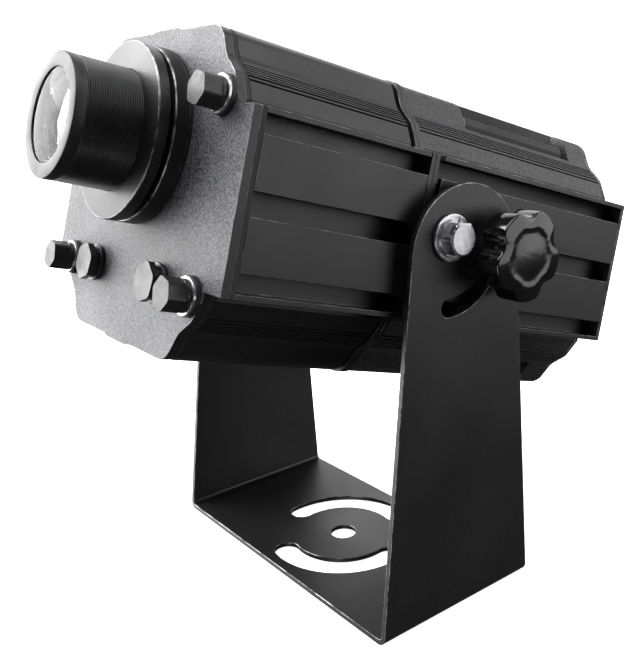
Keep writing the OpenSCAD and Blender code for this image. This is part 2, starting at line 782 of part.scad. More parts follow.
// A round lens with a domed front, from its edge, and a flat back
function dome_points(r, y_edge, dome_r, y_back) =
    let (sag = dome_r - sqrt(dome_r * dome_r - r * r))
    concat([[0, y_edge - sag]],
        [for (i = [1 : 12]) let (x = r * i / 12)
            [x, y_edge - sag + dome_r - sqrt(dome_r * dome_r - x * x)]],
        [[r, y_back], [0, y_back]]);
module front_lens() {
    open_r = barrel_opening / 2 - 0.4;
    color(clear_glass) in_head() {
        lens_lathe(dome_points(open_r, lens_edge_front, lens_dome_r, lens_edge_back));
        lens_tube(lens_edge_front, lens_edge_back, open_r - 0.2, lens_r);
    }
}
module rear_lens() {
    color(clear_glass) in_head() lens_tube(spacer_back, rear_lens_back, 0, lens_r);
}
// The tube between the two lenses, and the ring that holds the rear one
module lens_spacers() {
    color(gloss_black) in_head() {
        lens_tube(lens_edge_back, spacer_back, lens_r - 2, lens_r);
        lens_tube(rear_lens_back, rear_lens_back + retainer_t, lens_r - 3, lens_r);
    }
}

// Light engine inside the head
module optics_tube() {
    color(bare_alloy) in_head() difference() {
        lens_tube(tube_front, spreader_front, tube_bore_r, tube_r);
        rod_x(gobo_front + 3, lens_z, -tube_r - 1, -tube_r / 2, 5);
    }
}
gobo_t = 1.1;
gobo_r = 18.5;
module gobo_holder() {
    color(bare_alloy) in_head() lens_lathe([[gobo_r - 2.5, gobo_front],
        [tube_bore_r - fit_gap, gobo_front], [tube_bore_r - fit_gap, gobo_front + 6],
        [gobo_r + fit_gap, gobo_front + 6], [gobo_r + fit_gap, gobo_front + 2],
        [gobo_r - 2.5, gobo_front + 2]]);
}
module gobo_disc() {
    color(clear_glass) in_head() lens_tube(gobo_front + 2, gobo_front + 2 + gobo_t, 0, gobo_r);
}
condenser_t = 7;
condenser_gap = 3;
module condenser_lenses() {
    color(clear_glass) in_head() for (i = [0, 1])
        lens_tube(condenser_start + i * (condenser_t + condenser_gap),
            condenser_start + i * (condenser_t + condenser_gap) + condenser_t,
            0, tube_bore_r - 1.5);
}
module condenser_rings() {
    color(bare_alloy) in_head() for (i = [0, 1]) let (
        y = condenser_start + i * (condenser_t + condenser_gap), far = tube_bore_r - fit_gap)
        lens_lathe([[tube_bore_r - 1.45, y], [far, y], [far, y + condenser_t + 2],
            [far - 5, y + condenser_t + 2], [far - 5, y + condenser_t],
            [tube_bore_r - 1.45, y + condenser_t]]);
}
led_board = 40;
module led_module() {
    color("khaki") in_head() {
        translate([-led_board / 2, spreader_front - 2, lens_z - led_board / 2])
            cube([led_board, 2, led_board]);
        rod_y(0, lens_z, spreader_front - 4, spreader_front - 2, 11);
    }
}
pipe_x = [-33, -11, 11, 33];
module heat_spreader() {
    color(bare_alloy) in_head() difference() {
        along_y(spreader_front, spreader_front + spreader_t)
            translate([-spreader_w / 2, lens_z - tube_r - 2])
            square([spreader_w, pipe_z + 5 - (lens_z - tube_r - 2)]);
        for (x = pipe_x)
            rod_y(x, pipe_z, spreader_front + 2, spreader_front + spreader_t + 1,
                pipe_d / 2 + fit_gap);
    }
}
module heat_pipes() {
    color(copper) in_head() for (x = pipe_x)
        rod_y(x, pipe_z, spreader_front + 2, pocket_rear - 8, pipe_d / 2);
}
module driver_tray() {
    color(bare_alloy) in_head() translate([-tray_w / 2, pocket_front, tray_top - tray_t])
        cube([tray_w, pocket_rear - pocket_front - 4, tray_t]);
}
case_len = pocket_rear - pocket_front - 18;
module driver_case() {
    color("dimgray") in_head() difference() {
        translate([-case_w / 2, pocket_front + 4, tray_top]) cube([case_w, case_len, case_h]);
        for (i = [0 : 6])
            translate([-case_w / 2 - cut_past, pocket_front + 8 + i * (case_len - 10) / 6,
                tray_top + case_h - 4]) cube([case_w + 2 * cut_past, 2, 5]);
    }
}
module terminal_block() {
    color("beige") in_head() difference() {
        translate([-block_w / 2, pocket_rear - 13, tray_top]) cube([block_w, 8, block_h]);
        for (i = [-1 : 1]) translate([i * block_w / 3, pocket_rear - 9, tray_top + 5])
            cylinder(h = block_h - 4, r = 2);
    }
}

// Cable gland in the rear plate, with nothing fed through it
gland_bore_r = gland_bore_d / 2;
gland_hex_t = 5;
gland_neck = 8;
module gland_body() {
    color(gloss_black) in_head() difference() {
        union() {
            rod_y(0, -gland_drop, head_rear - 12, head_rear + gland_hex_t + gland_neck,
                gland_d / 2);
            translate([0, head_rear + gland_hex_t, -gland_drop]) rotate([90, 0, 0])
                cylinder(h = gland_hex_t, r = gland_d * 0.72, $fn = 6);
        }
        rod_y(0, -gland_drop, head_rear - 13, head_rear + 25, gland_bore_r + 0.2);
        rod_y(0, -gland_drop, head_rear + gland_hex_t, head_rear + 25, gland_bore_r + 1.8);
    }
}
module gland_seal() {
    y0 = head_rear + gland_hex_t;
    color(rubber) in_head() difference() {
        rod_y(0, -gland_drop, y0, y0 + gland_neck, gland_bore_r + 1.8 - fit_gap);
        rod_y(0, -gland_drop, y0 - 1, y0 + gland_neck + 1, gland_bore_r);
    }
}
module gland_dome() {
    y0 = head_rear + gland_hex_t + 0.5;
    y1 = y0 + gland_neck + 4;
    r = gland_d * 0.7;
    color(gloss_black) in_head() translate([0, 0, -gland_drop]) rotate([90, 0, 0])
        rotate_extrude() polygon([[gland_d / 2 + fit_gap, -y0], [r, -y0], [r, -y1 + 4],
            [r - 1.5, -y1 + 1.5], [r - 4, -y1], [gland_bore_r + 0.3, -y1],
            [gland_bore_r + 0.3, -y1 + 3], [gland_d / 2 + fit_gap, -y1 + 4]]);
}
module gland_locknut() {
    y1 = head_rear - rear_plate_t;
    color(gloss_black) in_head() difference() {
        translate([0, y1, -gland_drop]) rotate([90, 0, 0])
            cylinder(h = 5, r = gland_d * 0.72, $fn = 6);
        rod_y(0, -gland_drop, y1 - 6, y1 + 1, gland_d / 2 + fit_gap);
    }
}

// Pivot, on both sides
washer_in = arm_out + run_gap;
spring_in = washer_in + washer_t;
head_in = spring_in + spring_washer_t;
nut_out = core_hw - wall_t;
pivot_r = pivot_d / 2;
module ring_x(y, z, x0, x1, bore_r, out_r) {
    difference() {
        rod_x(y, z, x0, x1, out_r);
        rod_x(y, z, x0 - cut_past, x1 + cut_past, bore_r);
    }
}
module pivot_bosses() {
    color(bare_alloy) in_head() both_sides()
        ring_x(pivot_y, pivot_z, boss_seat, half_w, pivot_r + fit_gap, pivot_boss_d / 2);
}
module pivot_bolts() {
    color(steel) in_head() both_sides() {
        rod_x(pivot_y, pivot_z, nut_out - pivot_nut_h - 2, head_in, pivot_r);
        intersection() {
            translate([head_in, pivot_y, pivot_z]) rotate([0, 90, 0])
                rotate(8) cylinder(h = pivot_head_h, r = pivot_af / sqrt(3), $fn = 6);
            translate([head_in, pivot_y, pivot_z]) rotate([0, 90, 0]) {
                cylinder(h = pivot_head_h - 0.9, r = pivot_af);
                translate([0, 0, pivot_head_h - 0.9])
                    cylinder(h = 0.9, r1 = pivot_af / 2 + 1.4, r2 = pivot_af / 2 - 0.3);
            }
        }
    }
}
module pivot_washers() {
    color(steel) in_head() both_sides()
        ring_x(pivot_y, pivot_z, washer_in, spring_in, pivot_r + fit_gap, pivot_washer_d / 2);
}
module pivot_spring_washers() {
    color(steel) in_head() both_sides() difference() {
        ring_x(pivot_y, pivot_z, spring_in, head_in, pivot_r + fit_gap, pivot_af / 2 + 1.5);
        translate([spring_in - 1, pivot_y - 0.6, pivot_z]) cube([spring_washer_t + 2, 1.2, pivot_af]);
    }
}
module pivot_nut() {
    difference() {
        translate([nut_out - pivot_nut_h, pivot_y, pivot_z]) rotate([0, 90, 0])
            cylinder(h = pivot_nut_h, r = pivot_nut_af / sqrt(3), $fn = 6);
        rod_x(pivot_y, pivot_z, nut_out - 2 * pivot_nut_h, nut_out + 1, pivot_r + fit_gap);
    }
}
// Spacers that fill the gap between the head and the arms, at the pivots and the studs
module side_spacers() {
    color(rubber) in_head() both_sides() {
        ring_x(pivot_y, pivot_z, half_w, arm_in - run_gap, pivot_r + fit_gap,
            pivot_washer_d / 2);
        ring_x(stud_y, 0, half_w, arm_in - run_gap, stud_d / 2 + run_gap, stud_washer_d / 2);
    }
}

// Clamping knobs: a nut in the side channel, a stud through the slot, a washer and a star
module t_nut() {
    reach = channel_w / 2 + slat_overhang - 0.2;
    neck = channel_w / 2 - 0.2;
    shelf = half_w - slat_face_t - 0.2;
    difference() {
        translate([0, stud_y + t_nut_len / 2, 0]) rotate([90, 0, 0])
            linear_extrude(t_nut_len) {
                translate([t_nut_in, -reach]) square([shelf - t_nut_in, 2 * reach]);
                translate([t_nut_in, -neck]) square([half_w - t_nut_in, 2 * neck]);
            }
        rod_x(stud_y, 0, t_nut_in - 1, half_w + 1, stud_d / 2 + fit_gap);
    }
}
// Nuts of the pivot bolts, inside the housing, and of the studs, in the side channels
module side_nuts() {
    color(steel) in_head() both_sides() {
        pivot_nut();
        t_nut();
    }
}
module knob_stud() {
    rod_x(stud_y, 0, t_nut_in + 0.5, knob_back + 6, stud_d / 2);
}
module knob_washer() {
    ring_x(stud_y, 0, arm_out + run_gap, arm_out + run_gap + stud_washer_t,
        stud_d / 2 + fit_gap, stud_washer_d / 2);
}
// The star: lobes round a core, with hollows cut between them
module star_outline() {
    lobe_r = knob_d * 0.15;
    lobe_c = knob_d / 2 - lobe_r;
    step = 360 / knob_lobes;
    difference() {
        union() {
            circle(r = knob_d * 0.36);
            for (i = [0 : knob_lobes - 1]) rotate(knob_phase + i * step)
                translate([lobe_c, 0]) circle(r = lobe_r);
        }
        for (i = [0 : knob_lobes - 1]) rotate(knob_phase + (i + 0.5) * step)
            translate([knob_d * 0.46, 0]) circle(r = knob_d * 0.15);
    }
}
module knob() {
    difference() {
        union() {
            along_x(knob_back, knob_front) translate([stud_y, 0]) star_outline();
            rod_x(stud_y, 0, knob_seat, knob_back, knob_d * 0.24);
            rod_x(stud_y, 0, knob_front, knob_front + 1, knob_d * 0.22);
        }
        rod_x(stud_y, 0, knob_seat - 1, knob_back + 6, stud_d / 2);
    }
}
module knob_right() { color(gloss_black) in_head() knob(); }
module knob_left() { color(gloss_black) in_head() mirror([1, 0, 0]) knob(); }
module knob_stud_right() { color(steel) in_head() knob_stud(); }
module knob_stud_left() { color(steel) in_head() mirror([1, 0, 0]) knob_stud(); }
module knob_washer_right() { color(steel) in_head() knob_washer(); }
module knob_washer_left() { color(steel) in_head() mirror([1, 0, 0]) knob_washer(); }

yoke_base();
yoke_arm_right();
yoke_arm_left();
front_plate();
front_gasket();
front_housing();
seam_flange_front();
seam_gasket();
seam_flange_rear();
rear_housing();
top_fins();
bottom_fins();
rear_gasket();
rear_plate();
front_sink_right();
front_sink_left();
rear_sink_right();
rear_sink_left();
sink_screws();
tie_rods();
front_bolts();
front_bolt_washers();
front_bolt_seats();
vent_plugs();
vent_seals();
lens_flange();
lens_flange_seal();
lens_flange_nut();
lock_ring();
focus_barrel();
front_lens();
rear_lens();
lens_spacers();
optics_tube();
gobo_holder();
gobo_disc();
condenser_lenses();
condenser_rings();
led_module();
heat_spreader();
heat_pipes();
driver_tray();
driver_case();
terminal_block();
gland_body();
gland_seal();
gland_dome();
gland_locknut();
pivot_bosses();
pivot_bolts();
pivot_washers();
pivot_spring_washers();
side_nuts();
side_spacers();
knob_right();
knob_stud_right();
knob_washer_right();
knob_left();
knob_stud_left();
knob_washer_left();
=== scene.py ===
# %% [markdown]
# # An outdoor gobo projector in a bent steel yoke
# A gobo projector throws the picture of a small glass disc through a focusing lens. This one
# is sealed against rain: a finned aluminium head tilts in a yoke of black sheet steel, and a
# star knob on each side clamps it. The solid parts come from a CAD model, so this lesson gives
# them their finishes, rounds the edges of the sheet metal and castings, and remakes the pieces
# whose beauty is in curves: the threaded lens barrel, the front lens, the bolts, the vents and
# the knobs. Lengths are in millimetres until they reach a mesh.

import math

import bmesh
import bpy
import numpy as np
from mathutils import Matrix, Vector


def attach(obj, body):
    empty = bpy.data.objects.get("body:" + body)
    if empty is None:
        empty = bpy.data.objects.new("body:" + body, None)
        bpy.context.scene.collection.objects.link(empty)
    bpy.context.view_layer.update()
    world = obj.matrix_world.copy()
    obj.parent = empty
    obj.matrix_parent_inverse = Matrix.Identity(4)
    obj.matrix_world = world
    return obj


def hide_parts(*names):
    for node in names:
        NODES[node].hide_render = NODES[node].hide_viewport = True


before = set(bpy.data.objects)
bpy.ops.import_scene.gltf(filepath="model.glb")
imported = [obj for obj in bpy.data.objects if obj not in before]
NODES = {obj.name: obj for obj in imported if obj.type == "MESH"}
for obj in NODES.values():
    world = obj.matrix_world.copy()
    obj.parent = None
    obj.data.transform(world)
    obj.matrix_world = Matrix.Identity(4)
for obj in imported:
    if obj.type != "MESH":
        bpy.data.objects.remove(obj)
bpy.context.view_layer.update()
MM = 0.001

# %% [markdown]
# ## Where the head's own measures are
# The head is drawn level and then tilted about its pivot, 17 degrees lens up. New pieces are
# worked out in the head's own level frame, as (x, y, z) with the lens at -y, and carried into
# place by one array function, so every vertex ends where the CAD piece has it.

# %% The head's frame
TILT = math.radians(17)
PIVOT_H = 179.9
PIVOT_AHEAD, PIVOT_RISE = 0.5, 1.8
LENS_Z = 21.8
PLATE_FRONT = -104.0
TILT_SLOT_R = 31.3
STUD_Y = math.sqrt(TILT_SLOT_R ** 2 - PIVOT_RISE ** 2) - PIVOT_AHEAD
HEAD_AXIS = np.array([0, math.cos(TILT), -math.sin(TILT)])


def in_head(points):
    """Level head coordinates to the row frame: shift so that the pivot is the origin, turn by
    the tilt about X (y' = y cos + z sin, z' = z cos - y sin), and lift to the pivot's height."""
    p = np.asarray(points, float) + (0, PIVOT_AHEAD, -PIVOT_RISE)
    y = p[..., 1] * math.cos(TILT) + p[..., 2] * math.sin(TILT)
    z = p[..., 2] * math.cos(TILT) - p[..., 1] * math.sin(TILT) + PIVOT_H
    return np.stack([p[..., 0], y, z], -1)


print("height of the lens's centre in mm:", round(in_head((0, PLATE_FRONT, LENS_Z))[2], 1))


# %% [markdown]
# ## From a grid of numbers to a mesh
# Turned and moulded pieces are all surfaces of two parameters, so one function is enough: it
# takes a grid of points, joins each to its neighbours with quads, and closes the grid round
# one or both ways. Where a row of the grid shrinks to a point, such as the tip of a dome, the
# doubles are merged and the flat faces that this leaves go away.

# %% Grids to meshes
SAME_POINT, NO_LENGTH = 1e-7, 1e-8


def grid_faces(rows, cols, round_rows):
    """Quads of a grid whose columns run round. Point (i, j) has number i * cols + j, and the
    rows close too if round_rows is set."""
    first = np.arange(rows if round_rows else rows - 1)
    i, j = np.meshgrid(first, np.arange(cols), indexing="ij")
    k, l = (i + 1) % rows, (j + 1) % cols
    return np.stack([i * cols + j, i * cols + l, k * cols + l, k * cols + j], -1).reshape(-1, 4)


def grid_object(name, grids, finish, round_rows=True, smooth_below=35):
    """One object from several grids of millimetre points, shaded smooth except where two faces
    meet at a sharper angle."""
    verts, faces, start = [], [], 0
    for grid in grids:
        rows, cols = grid.shape[:2]
        verts.append(grid.reshape(-1, 3) * MM)
        faces.append(grid_faces(rows, cols, round_rows) + start)
        start += rows * cols
    verts, faces = np.concatenate(verts), np.concatenate(faces)
    mesh = bpy.data.meshes.new(name)
    mesh.vertices.add(len(verts))
    mesh.vertices.foreach_set("co", verts.ravel())
    mesh.loops.add(faces.size)
    mesh.loops.foreach_set("vertex_index", faces.ravel())
    mesh.polygons.add(len(faces))
    mesh.polygons.foreach_set("loop_start", np.arange(0, faces.size, 4))
    mesh.update(calc_edges=True)
    work = bmesh.new()
    work.from_mesh(mesh)
    bmesh.ops.remove_doubles(work, verts=work.verts, dist=SAME_POINT)
    bmesh.ops.dissolve_degenerate(work, edges=work.edges, dist=NO_LENGTH)
    bmesh.ops.recalc_face_normals(work, faces=work.faces)
    work.to_mesh(mesh)
    work.free()
    mesh.shade_smooth()
    mesh.set_sharp_from_angle(angle=math.radians(smooth_below))
    obj = bpy.data.objects.new(name, mesh)
    bpy.context.scene.collection.objects.link(obj)
    mesh.materials.append(finish)
    print(name, "faces:", len(mesh.polygons))
    return obj


def piece(name, grids, body, nodes, finish, round_rows=True, smooth_below=35):
    """A grid object that rides on a body, takes a slot's finish and stands for CAD nodes."""
    obj = grid_object(name, grids, finish, round_rows, smooth_below)
    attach(obj, body)
    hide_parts(*nodes)


def turned(profile, radius_at=None, sides=96):
    """A solid of revolution about the y axis: each profile point (r, y) is carried round a
    circle, x = r cos a, z = r sin a. radius_at(r, y, a) may bend the circle into another
    outline. The result is a grid of profile points by angles."""
    p = np.asarray(profile, float)
    a = np.linspace(0, 2 * math.pi, sides, endpoint=False)
    r = np.repeat(p[:, :1], sides, 1)
    y = np.repeat(p[:, 1:2], sides, 1)
    if radius_at:
        r = radius_at(r, y, a[None, :])
    return np.stack([r * np.cos(a), y, r * np.sin(a)], -1)


def eased(profile, r=0.3, steps=4):
    """A closed profile with every corner rounded: the corner becomes an arc of radius r, made
    as a quadratic curve between the points r before and r after it along its two edges, or
    45% of an edge that is too short for r."""
    p = np.asarray(profile, float)
    before, after = np.roll(p, 1, 0) - p, np.roll(p, -1, 0) - p
    lb, la = np.linalg.norm(before, axis=1), np.linalg.norm(after, axis=1)
    a = p + before / lb[:, None] * np.minimum(r, lb * 0.45)[:, None]
    b = p + after / la[:, None] * np.minimum(r, la * 0.45)[:, None]
    t = np.linspace(0, 1, steps + 1)[None, :, None]
    curve = (1 - t) ** 2 * a[:, None] + 2 * t * (1 - t) * p[:, None] + t ** 2 * b[:, None]
    return curve.reshape(-1, 2)


# %% [markdown]
# ## Nodes and colours
# Every finish below is a small tree of shader nodes. One function adds a node with its
# settings and links, and another turns the hex colours of a paint card into the linear numbers
# that a renderer works with.

# %% Nodes and colours
def linear(hex_colour):
    """An sRGB hex colour as linear red, green, blue and alpha, by the sRGB curve."""
    c = np.array([int(hex_colour[i:i + 2], 16) for i in (1, 3, 5)]) / 255
    c = np.where(c <= 0.04045, c / 12.92, ((c + 0.055) / 1.055) ** 2.4)
    return (*c.tolist(), 1.0)


def add(tree, kind, settings=None, **inputs):
    """Adds one shader node. settings are its own properties, and each input is a value or an
    output to link. An underscore in an input's name stands for a space, and i0 is input 0."""
    node = tree.nodes.new("ShaderNode" + kind)
    for key, value in (settings or {}).items():
        setattr(node, key, value)
    for key, value in inputs.items():
        numbered = key[0] == "i" and key[1:].isdigit()
        socket = node.inputs[int(key[1:]) if numbered else key.replace("_", " ")]
        if isinstance(value, bpy.types.NodeSocket):
            tree.links.new(value, socket)
        else:
            socket.default_value = value
    return node


def new_finish(name, hex_colour, roughness, metallic=0.0, ior=1.5, **inputs):
    """A material with one shader, and returns (material, tree, shader)."""
    mat = bpy.data.materials.new(name)
    mat.use_nodes = True
    tree = mat.node_tree
    tree.nodes.clear()
    shader = add(tree, "BsdfPrincipled", Base_Color=linear(hex_colour), Roughness=roughness,
                 Metallic=metallic, **inputs)
    if metallic < 0.5:
        shader.inputs["IOR"].default_value = ior
    add(tree, "OutputMaterial", Surface=shader.outputs["BSDF"])
    mat.diffuse_color = linear(hex_colour)
    print("finish", name, hex_colour, "roughness", roughness, "metallic", metallic)
    return mat, tree, shader


def grain(tree, size_mm, detail=2.0, stretch=(1, 1, 1)):
    """Noise in Object coordinates whose blobs are about size_mm across, longer along an axis
    whose stretch is above one."""
    spot = add(tree, "TexCoord").outputs["Object"]
    scale = tuple(1 / (size_mm * MM * s) for s in stretch)
    placed = add(tree, "Mapping", Vector=spot, Scale=scale).outputs["Vector"]
    return add(tree, "TexNoise", Vector=placed, Scale=1.0, Detail=detail).outputs["Fac"]


def bump(tree, shader, height, depth_mm):
    """Bump from a height between 0 and 1, depth_mm deep."""
    node = add(tree, "Bump", Height=height, Strength=1.0, Distance=depth_mm * MM)
    tree.links.new(node.outputs["Normal"], shader.inputs["Normal"])


def spread(tree, value, low, high, floor=0.35, top=0.65):
    """Spreads the middle of a noise over low..high."""
    return add(tree, "MapRange", Value=value, From_Min=floor, From_Max=top, To_Min=low,
               To_Max=high).outputs["Result"]


def shade(tree, value, dark, light):
    """A colour between two hex colours."""
    ramp = add(tree, "ValToRGB", Fac=value)
    ramp.color_ramp.elements[0].color = linear(dark)
    ramp.color_ramp.elements[1].color = linear(light)
    return ramp.outputs["Color"]


print("the grey #808080 in linear numbers:", round(linear("#808080")[0], 3))


# %% [markdown]
# ## Fine texture powder coat on sheet steel
# The yoke is sprayed with dry powder that melts to a matt black skin. The skin dries with
# grains about 0.4 mm across, which scatter a light into a broad soft sheen. They are drawn at
# 0.9 mm so that they show at this distance. Handling leaves the sheen a little uneven over a
# hand's width. A coat is named by its grain, its depth and its roughness, and by the dark and
# light colours of its grains.

# %% Powder coat
def powder_coat(name, grain_mm, depth_mm, roughness, dark, light):
    mat, tree, shader = new_finish(name, "#0c0c0d", roughness)
    fine = grain(tree, grain_mm, 2.0)
    bump(tree, shader, fine, depth_mm)
    cloudy = spread(tree, grain(tree, 45, 3.0), roughness - 0.04, roughness + 0.04)
    tree.links.new(cloudy, shader.inputs["Roughness"])
    speck = spread(tree, fine, 0.0, 1.0, 0.4, 0.6)
    tree.links.new(shade(tree, speck, dark, light), shader.inputs["Base Color"])
    return mat


yoke_coat = powder_coat("fine_texture_powder_coat_on_steel", 0.9, 0.05, 0.4,
                        "#050506", "#19191b")

# %% [markdown]
# ## Sparkle coat on castings and extrusions
# The head's plates and its rear housing carry a coarser coat whose grains show as a sparkle
# where light skims them, most on the front plate. The plates' coat is the same black paint
# with lighter grains, painted light that stands in for the front light on their faces, and
# their sideways faces take the darker smooth coat as painted shade. The front housing, the
# flanges and the fins are smoother. The slats of the heat sinks were extruded, so their skin
# has faint lines along the head that the die left. Where an edge has rubbed, the coat is thin
# and metal shines through.

# %% Coats of the head
# Painted light: the plates' coat is the casting coat with lighter grains, standing in for the front
# light on their faces.
plate_coat_painted_light = powder_coat("sparkle_powder_coat_painted_lighter_on_plate", 0.9, 0.16, 0.5,
                         "#1c1c1e", "#606064")
casting_coat = powder_coat("sparkle_powder_coat_on_castings", 0.9, 0.2, 0.48,
                           "#0a0a0c", "#3c3c3f")
smooth_coat = powder_coat("fine_powder_coat_on_castings", 0.8, 0.06, 0.42,
                          "#070708", "#161617")
fin_coat = powder_coat("fine_powder_coat_on_fins", 0.8, 0.03, 0.6,
                       "#050505", "#0b0b0c")


def extrusion_coat():
    mat, tree, shader = new_finish("satin_coat_on_extruded_aluminium", "#0b0b0c", 0.4)
    lines = grain(tree, 0.7, 1.0, (1, 60, 1))
    fine = grain(tree, 0.8, 1.0)
    both = add(tree, "Mix", {"data_type": "FLOAT"}, i0=0.6, i2=lines, i3=fine)
    bump(tree, shader, both.outputs[0], 0.02)
    cloudy = spread(tree, grain(tree, 30, 2.0), 0.36, 0.44)
    tree.links.new(cloudy, shader.inputs["Roughness"])
    return mat


sink_coat = extrusion_coat()


def thin_edge():
    mat, tree, shader = new_finish("coat_worn_thin_on_edges", "#7c7c7e", 0.4, 1.0)
    worn = spread(tree, grain(tree, 5, 3.0), 0.0, 1.0)
    tree.links.new(shade(tree, worn, "#3a3a3c", "#98989b"), shader.inputs["Base Color"])
    bump(tree, shader, grain(tree, 0.9, 2.0), 0.04)
    return mat


worn_edge = thin_edge()

# %% [markdown]
# ## Metals, rubber and plastics
# The pivot bolts and all washers are stainless steel, cold headed and turned: bright, with fine
# marks round them. The front bolts are steel under black zinc. The barrel is black anodised
# aluminium, an oxide skin with a satin sheen. Gaskets are rubber with a dull bloom, the knobs
# glossy moulded nylon and the vents a duller one. What hides inside is bare aluminium, copper
# and a white emitter board.

# %% Metals
def turned_steel():
    mat, tree, shader = new_finish("bright_stainless_steel", "#b8b8bb", 0.3, 1.0)
    marks = grain(tree, 0.35, 2.0, (1, 6, 1))
    bump(tree, shader, marks, 0.01)
    tree.links.new(spread(tree, grain(tree, 3, 3.0), 0.22, 0.38), shader.inputs["Roughness"])
    tint = shade(tree, grain(tree, 4, 2.0), "#9c9ca0", "#cfcfd2")
    tree.links.new(tint, shader.inputs["Base Color"])
    return mat


def black_steel():
    mat, tree, shader = new_finish("black_zinc_on_steel", "#131314", 0.4)
    bump(tree, shader, grain(tree, 0.8, 2.0), 0.05)
    tree.links.new(spread(tree, grain(tree, 3, 3.0), 0.32, 0.46), shader.inputs["Roughness"])
    return mat


def bare_aluminium():
    mat, tree, shader = new_finish("machined_aluminium", "#c3c4c6", 0.35, 1.0)
    bump(tree, shader, grain(tree, 0.5, 2.0, (8, 1, 1)), 0.02)
    return mat


def anodised():
    mat, tree, shader = new_finish("black_anodised_aluminium", "#0a0a0b", 0.46)
    bump(tree, shader, grain(tree, 0.6, 2.0), 0.02)
    tree.links.new(spread(tree, grain(tree, 9, 2.0), 0.42, 0.5), shader.inputs["Roughness"])
    return mat


def copper_tube():
    mat, tree, shader = new_finish("drawn_copper", "#c9855a", 0.3, 1.0)
    bump(tree, shader, grain(tree, 0.6, 2.0, (1, 20, 1)), 0.02)
    tint = shade(tree, grain(tree, 12, 3.0), "#a9653f", "#d79468")
    tree.links.new(tint, shader.inputs["Base Color"])
    return mat


bright_steel = turned_steel()
dark_steel = black_steel()
machined = bare_aluminium()
barrel_black = anodised()
copper = copper_tube()


# %% Rubber, plastics and the emitter's board
def rubber():
    mat, tree, shader = new_finish("moulded_black_rubber", "#0b0b0b", 0.62)
    bump(tree, shader, grain(tree, 0.5, 2.0), 0.03)
    tint = shade(tree, grain(tree, 6, 3.0), "#080808", "#151515")
    tree.links.new(tint, shader.inputs["Base Color"])
    return mat


def nylon(name, roughness, colour):
    mat, tree, shader = new_finish(name, colour, roughness, ior=1.53)
    bump(tree, shader, grain(tree, 2.5, 1.0), 0.03)
    tree.links.new(spread(tree, grain(tree, 7, 3.0), roughness * 0.8, roughness * 1.25),
                   shader.inputs["Roughness"])
    return mat


def emitter_board():
    mat, tree, shader = new_finish("white_solder_mask_with_phosphor", "#e8e4d2", 0.5)
    tint = shade(tree, grain(tree, 5, 2.0), "#d8cf9a", "#ece9dd")
    tree.links.new(tint, shader.inputs["Base Color"])
    bump(tree, shader, grain(tree, 0.8), 0.02)
    return mat


gasket_rubber = rubber()
gloss_nylon = nylon("glossy_black_nylon", 0.12, "#070708")
matt_nylon = nylon("matt_black_nylon", 0.45, "#101011")
vent_nylon = nylon("satin_black_nylon", 0.35, "#141415")
board = emitter_board()


# %% [markdown]
# ## Lens glass
# The lenses are ground and polished crown glass with a coating that dims their reflections,
# here as an alpha that lets part of the view straight through. The gobo is also glass, tinted
# grey and without a picture.

# %% Glass
def crown_glass(name, tint, roughness):
    mat, tree, shader = new_finish(name, tint, roughness, ior=1.52, Transmission_Weight=1.0,
                                   Alpha=0.38)
    bump(tree, shader, grain(tree, 14, 1.0), 0.002)
    return mat


lens_glass = crown_glass("polished_crown_glass", "#eef1f1", 0.0)
gobo_glass = crown_glass("printed_gobo_glass", "#9aa2ae", 0.15)

# %% [markdown]
# ## Finishes for the CAD nodes
# A solid whose shape is right keeps its mesh and only gets its finish. The list below sorts
# them by what they are made of.

# %% Dress the CAD nodes
FINISHES = {
    casting_coat: ["rear_housing"],
    smooth_coat: ["front_housing"],
    gasket_rubber: ["front_gasket", "seam_gasket", "rear_gasket", "front_bolt_seats",
                    "vent_seals", "lens_flange_seal", "gland_seal"],
    bright_steel: ["sink_screws", "tie_rods", "side_nuts", "pivot_spring_washers",
                   "knob_stud_right", "knob_stud_left", "knob_washer_right",
                   "knob_washer_left"],
    machined: ["lens_flange_nut", "optics_tube", "gobo_holder", "condenser_rings",
               "heat_spreader", "driver_tray", "pivot_bosses"],
    barrel_black: ["lens_spacers"],
    gloss_nylon: ["gland_body", "gland_locknut", "driver_case"],
    matt_nylon: ["side_spacers", "terminal_block"],
    lens_glass: ["condenser_lenses", "rear_lens"],
    gobo_glass: ["gobo_disc"],
    board: ["led_module"],
    copper: ["heat_pipes"],
}
for finish, names in FINISHES.items():
    for name in names:
        node = NODES[name]
        node.data.materials.clear()
        node.data.materials.append(finish)
print("nodes with a finish:", sum(len(v) for v in FINISHES.values()))

# %% [markdown]
# ## Real edges, and the yoke as one bent sheet
# An exact solid has edges of no width, and nothing real has them. A thin arc along each edge
# catches the light as the bright line that makes a metal part look solid. Here copies of the
# CAD meshes get it: corners that coincide are merged, flat neighbours become one face, and a
# bevel rounds every sharp edge, in the finish of an edge that has rubbed. The yoke is one strip
# of sheet that was cut by a laser and bent twice. The CAD holds it as a base and two arms, so
# their copies are joined and the hidden faces at the seams go.

# %% Rounded copies
SEAM_X = 85.5
SAME_CORNER, ON_SEAM = 3e-6, 1e-5
WORN_SLOT, SHADED_SIDES_SLOT = 1, 2
FLAT_BELOW, SHARP_ABOVE, BEVEL_ABOVE = (math.radians(v) for v in (0.5, 25, 40))


